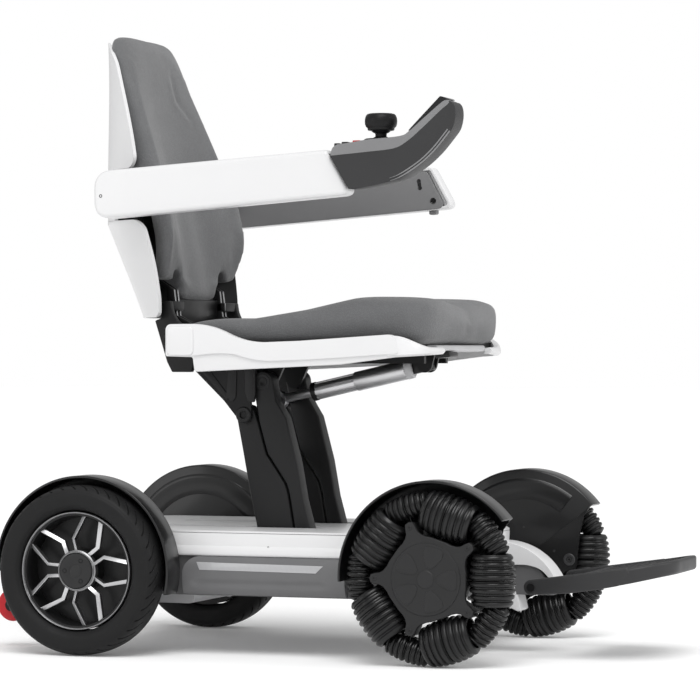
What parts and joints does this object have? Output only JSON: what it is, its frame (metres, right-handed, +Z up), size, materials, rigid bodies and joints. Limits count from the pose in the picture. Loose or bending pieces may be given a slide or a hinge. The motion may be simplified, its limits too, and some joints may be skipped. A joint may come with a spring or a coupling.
{
  "type": "power wheelchair",
  "caption": "Folding power wheelchair with a link-carried seat, folding back, flip-up armrests, joystick control, fendered wheels and ribbed-roller omni front wheels.",
  "frame": {"origin": "on the floor, below the middle of the outline box", "axes": "+X forward, the way the seat faces, +Y to the occupant's left, +Z up"},
  "size_m": [1.035, 0.581, 0.942],
  "materials": {
    "white_gloss": "gloss moulded cover",
    "grey_plastic": "satin moulded cover",
    "dark_grey": "fine-grained moulding",
    "black_plastic": "fine-grained moulding",
    "light_grey": "satin moulding",
    "lens": "smooth light strip",
    "tyre_rubber": "smooth tyre rubber",
    "roller_rubber": "ribbed rubber",
    "black_rubber": "soft touch rubber",
    "red_rubber": "moulded rubber",
    "red_plastic": "moulded key",
    "machined_alloy": "machined faces, black pockets",
    "cast_alloy": "as extruded",
    "black_alloy": "satin powder coat",
    "black_steel": "satin powder coat",
    "bright_steel": "ground",
    "grey_fabric": "stretch cover over foam"
  },
  "bodies": {
    "chassis": {"base_tray": "black_plastic", "deck_cover": "white_gloss", "side_covers": "grey_plastic", "side_lights": "lens", "rear_fenders": "black_plastic", "front_fenders": "black_plastic", "drive_motors": "cast_alloy", "battery_pack": "light_grey", "power_controller": "cast_alloy", "chassis_frame": "black_steel"},
    "rear_wheel_right": {"rear_tyre_right": "tyre_rubber", "rear_rim_right": "machined_alloy"},
    "front_hub_right": {"front_hub_right": "black_plastic"},
    "large_roller_right_1": {"large_roller_right_1": "roller_rubber"},
    "large_roller_right_2": {"large_roller_right_2": "roller_rubber"},
    "large_roller_right_3": {"large_roller_right_3": "roller_rubber"},
    "large_roller_right_4": {"large_roller_right_4": "roller_rubber"},
    "large_roller_right_5": {"large_roller_right_5": "roller_rubber"},
    "small_roller_right_1": {"small_roller_right_1": "roller_rubber"},
    "small_roller_right_2": {"small_roller_right_2": "roller_rubber"},
    "small_roller_right_3": {"small_roller_right_3": "roller_rubber"},
    "small_roller_right_4": {"small_roller_right_4": "roller_rubber"},
    "small_roller_right_5": {"small_roller_right_5": "roller_rubber"},
    "anti_tip_wheel_right": {"anti_tip_wheel_right": "red_rubber"},
    "rear_wheel_left": {"rear_tyre_left": "tyre_rubber", "rear_rim_left": "machined_alloy"},
    "front_hub_left": {"front_hub_left": "black_plastic"},
    "large_roller_left_1": {"large_roller_left_1": "roller_rubber"},
    "large_roller_left_2": {"large_roller_left_2": "roller_rubber"},
    "large_roller_left_3": {"large_roller_left_3": "roller_rubber"},
    "large_roller_left_4": {"large_roller_left_4": "roller_rubber"},
    "large_roller_left_5": {"large_roller_left_5": "roller_rubber"},
    "small_roller_left_1": {"small_roller_left_1": "roller_rubber"},
    "small_roller_left_2": {"small_roller_left_2": "roller_rubber"},
    "small_roller_left_3": {"small_roller_left_3": "roller_rubber"},
    "small_roller_left_4": {"small_roller_left_4": "roller_rubber"},
    "small_roller_left_5": {"small_roller_left_5": "roller_rubber"},
    "anti_tip_wheel_left": {"anti_tip_wheel_left": "red_rubber"},
    "rear_links": {"rear_links": "black_alloy"},
    "front_links": {"front_links": "black_alloy"},
    "seat": {"seat_frame": "black_steel", "seat_trim": "white_gloss", "seat_cushion": "grey_fabric", "actuator_tube": "cast_alloy"},
    "actuator_rod": {"actuator_rod": "bright_steel"},
    "backrest": {"back_frame": "black_steel", "back_shell": "white_gloss", "back_cushion": "grey_fabric"},
    "armrest_right": {"armrest_right": "white_gloss", "armrest_panel_right": "dark_grey", "controller_body": "dark_grey", "controller_panel": "grey_plastic"},
    "armrest_left": {"armrest_left": "white_gloss", "armrest_panel_left": "dark_grey"},
    "joystick_gimbal": {"joystick_gimbal": "bright_steel"},
    "joystick_stick": {"joystick_stick": "black_rubber"},
    "power_button": {"power_button": "red_plastic"},
    "horn_button": {"horn_button": "black_rubber"},
    "speed_button": {"speed_button": "black_rubber"},
    "footplate": {"footplate": "dark_grey"}
  },
  "joints": [
    {"name": "rear_wheel_right_spin", "type": "hinge", "parent": "chassis", "child": "rear_wheel_right", "pos_m": [-0.3365, -0.2565, 0.127], "axis": [0, 1, 0], "continuous": true},
    {"name": "front_hub_right_spin", "type": "hinge", "parent": "chassis", "child": "front_hub_right", "pos_m": [0.2115, -0.2565, 0.127], "axis": [0, 1, 0], "continuous": true},
    {"name": "large_roller_right_1_spin", "type": "hinge", "parent": "front_hub_right", "child": "large_roller_right_1", "pos_m": [0.3045, -0.2565, 0.127], "axis": [0, 0, 1], "continuous": true},
    {"name": "large_roller_right_2_spin", "type": "hinge", "parent": "front_hub_right", "child": "large_roller_right_2", "pos_m": [0.24024, -0.2565, 0.21545], "axis": [-0.9511, 0, 0.309], "continuous": true},
    {"name": "large_roller_right_3_spin", "type": "hinge", "parent": "front_hub_right", "child": "large_roller_right_3", "pos_m": [0.13626, -0.2565, 0.18166], "axis": [-0.5878, 0, -0.809], "continuous": true},
    {"name": "large_roller_right_4_spin", "type": "hinge", "parent": "front_hub_right", "child": "large_roller_right_4", "pos_m": [0.13626, -0.2565, 0.07234], "axis": [0.5878, 0, -0.809], "continuous": true},
    {"name": "large_roller_right_5_spin", "type": "hinge", "parent": "front_hub_right", "child": "large_roller_right_5", "pos_m": [0.24024, -0.2565, 0.03855], "axis": [0.9511, 0, 0.309], "continuous": true},
    {"name": "small_roller_right_1_spin", "type": "hinge", "parent": "front_hub_right", "child": "small_roller_right_1", "pos_m": [0.29807, -0.2565, 0.18989], "axis": [-0.5878, 0, 0.809], "continuous": true},
    {"name": "small_roller_right_2_spin", "type": "hinge", "parent": "front_hub_right", "child": "small_roller_right_2", "pos_m": [0.17844, -0.2565, 0.22876], "axis": [-0.9511, 0, -0.309], "continuous": true},
    {"name": "small_roller_right_3_spin", "type": "hinge", "parent": "front_hub_right", "child": "small_roller_right_3", "pos_m": [0.1045, -0.2565, 0.127], "axis": [0, 0, -1], "continuous": true},
    {"name": "small_roller_right_4_spin", "type": "hinge", "parent": "front_hub_right", "child": "small_roller_right_4", "pos_m": [0.17844, -0.2565, 0.02524], "axis": [0.9511, 0, -0.309], "continuous": true},
    {"name": "small_roller_right_5_spin", "type": "hinge", "parent": "front_hub_right", "child": "small_roller_right_5", "pos_m": [0.29807, -0.2565, 0.06411], "axis": [0.5878, 0, 0.809], "continuous": true},
    {"name": "anti_tip_wheel_right_spin", "type": "hinge", "parent": "chassis", "child": "anti_tip_wheel_right", "pos_m": [-0.4925, -0.166, 0.064], "axis": [0, 1, 0], "continuous": true},
    {"name": "rear_wheel_left_spin", "type": "hinge", "parent": "chassis", "child": "rear_wheel_left", "pos_m": [-0.3365, 0.2565, 0.127], "axis": [0, 1, 0], "continuous": true},
    {"name": "front_hub_left_spin", "type": "hinge", "parent": "chassis", "child": "front_hub_left", "pos_m": [0.2115, 0.2565, 0.127], "axis": [0, 1, 0], "continuous": true},
    {"name": "large_roller_left_1_spin", "type": "hinge", "parent": "front_hub_left", "child": "large_roller_left_1", "pos_m": [0.3045, 0.2565, 0.127], "axis": [0, 0, 1], "continuous": true},
    {"name": "large_roller_left_2_spin", "type": "hinge", "parent": "front_hub_left", "child": "large_roller_left_2", "pos_m": [0.24024, 0.2565, 0.21545], "axis": [-0.9511, 0, 0.309], "continuous": true},
    {"name": "large_roller_left_3_spin", "type": "hinge", "parent": "front_hub_left", "child": "large_roller_left_3", "pos_m": [0.13626, 0.2565, 0.18166], "axis": [-0.5878, 0, -0.809], "continuous": true},
    {"name": "large_roller_left_4_spin", "type": "hinge", "parent": "front_hub_left", "child": "large_roller_left_4", "pos_m": [0.13626, 0.2565, 0.07234], "axis": [0.5878, 0, -0.809], "continuous": true},
    {"name": "large_roller_left_5_spin", "type": "hinge", "parent": "front_hub_left", "child": "large_roller_left_5", "pos_m": [0.24024, 0.2565, 0.03855], "axis": [0.9511, 0, 0.309], "continuous": true},
    {"name": "small_roller_left_1_spin", "type": "hinge", "parent": "front_hub_left", "child": "small_roller_left_1", "pos_m": [0.29807, 0.2565, 0.18989], "axis": [-0.5878, 0, 0.809], "continuous": true},
    {"name": "small_roller_left_2_spin", "type": "hinge", "parent": "front_hub_left", "child": "small_roller_left_2", "pos_m": [0.17844, 0.2565, 0.22876], "axis": [-0.9511, 0, -0.309], "continuous": true},
    {"name": "small_roller_left_3_spin", "type": "hinge", "parent": "front_hub_left", "child": "small_roller_left_3", "pos_m": [0.1045, 0.2565, 0.127], "axis": [0, 0, -1], "continuous": true},
    {"name": "small_roller_left_4_spin", "type": "hinge", "parent": "front_hub_left", "child": "small_roller_left_4", "pos_m": [0.17844, 0.2565, 0.02524], "axis": [0.9511, 0, -0.309], "continuous": true},
    {"name": "small_roller_left_5_spin", "type": "hinge", "parent": "front_hub_left", "child": "small_roller_left_5", "pos_m": [0.29807, 0.2565, 0.06411], "axis": [0.5878, 0, 0.809], "continuous": true},
    {"name": "anti_tip_wheel_left_spin", "type": "hinge", "parent": "chassis", "child": "anti_tip_wheel_left", "pos_m": [-0.4925, 0.166, 0.064], "axis": [0, 1, 0], "continuous": true},
    {"name": "lift", "type": "hinge", "parent": "chassis", "child": "rear_links", "pos_m": [-0.07233, 0, 0.11705], "axis": [0, -1, 0], "range_deg": [0, 42]},
    {"name": "lift_front", "type": "hinge", "parent": "chassis", "child": "front_links", "pos_m": [-0.04433, 0, 0.16705], "axis": [0, -1, 0], "range_deg": [0, 42]},
    {"name": "seat_level", "type": "hinge", "parent": "rear_links", "child": "seat", "pos_m": [-0.1425, 0, 0.357], "axis": [0, 1, 0], "range_deg": [0, 42]},
    {"name": "actuator_stroke", "type": "slide", "parent": "seat", "child": "actuator_rod", "axis": [0.975, 0, 0.2224], "range_m": [0, 0.0213]},
    {"name": "back_fold", "type": "hinge", "parent": "seat", "child": "backrest", "pos_m": [-0.1925, 0, 0.47], "axis": [0, 1, 0], "range_deg": [0, 55]},
    {"name": "armrest_right_lift", "type": "hinge", "parent": "backrest", "child": "armrest_right", "pos_m": [-0.2875, -0.243, 0.68], "axis": [0, -1, 0], "range_deg": [0, 90]},
    {"name": "armrest_left_lift", "type": "hinge", "parent": "backrest", "child": "armrest_left", "pos_m": [-0.2875, 0.243, 0.68], "axis": [0, -1, 0], "range_deg": [0, 90]},
    {"name": "joystick_pitch", "type": "hinge", "parent": "armrest_right", "child": "joystick_gimbal", "pos_m": [0.1325, -0.24625, 0.748], "axis": [0, 1, 0], "range_deg": [-18, 18], "stiffness_Nm_per_rad": 0.4},
    {"name": "joystick_roll", "type": "hinge", "parent": "joystick_gimbal", "child": "joystick_stick", "pos_m": [0.1325, -0.24625, 0.748], "axis": [1, 0, 0], "range_deg": [-18, 18], "stiffness_Nm_per_rad": 0.4},
    {"name": "power_button_press", "type": "slide", "parent": "armrest_right", "child": "power_button", "axis": [0, 0, -1], "range_m": [0, 0.0015], "stiffness_N_per_m": 800},
    {"name": "horn_button_press", "type": "slide", "parent": "armrest_right", "child": "horn_button", "axis": [0, 0, -1], "range_m": [0, 0.0015], "stiffness_N_per_m": 800},
    {"name": "speed_button_press", "type": "slide", "parent": "armrest_right", "child": "speed_button", "axis": [0, 0, -1], "range_m": [0, 0.0015], "stiffness_N_per_m": 800},
    {"name": "footplate_fold", "type": "hinge", "parent": "chassis", "child": "footplate", "pos_m": [0.3195, 0, 0.107], "axis": [0, -1, 0], "range_deg": [0, 75]}
  ],
  "couplings": [
    {"joint": "lift_front", "follows": "lift", "ratio": 1},
    {"joint": "seat_level", "follows": "lift", "ratio": 1},
    {"joint": "actuator_stroke", "follows": "lift", "m_per_rad": 0.029057}
  ]
}
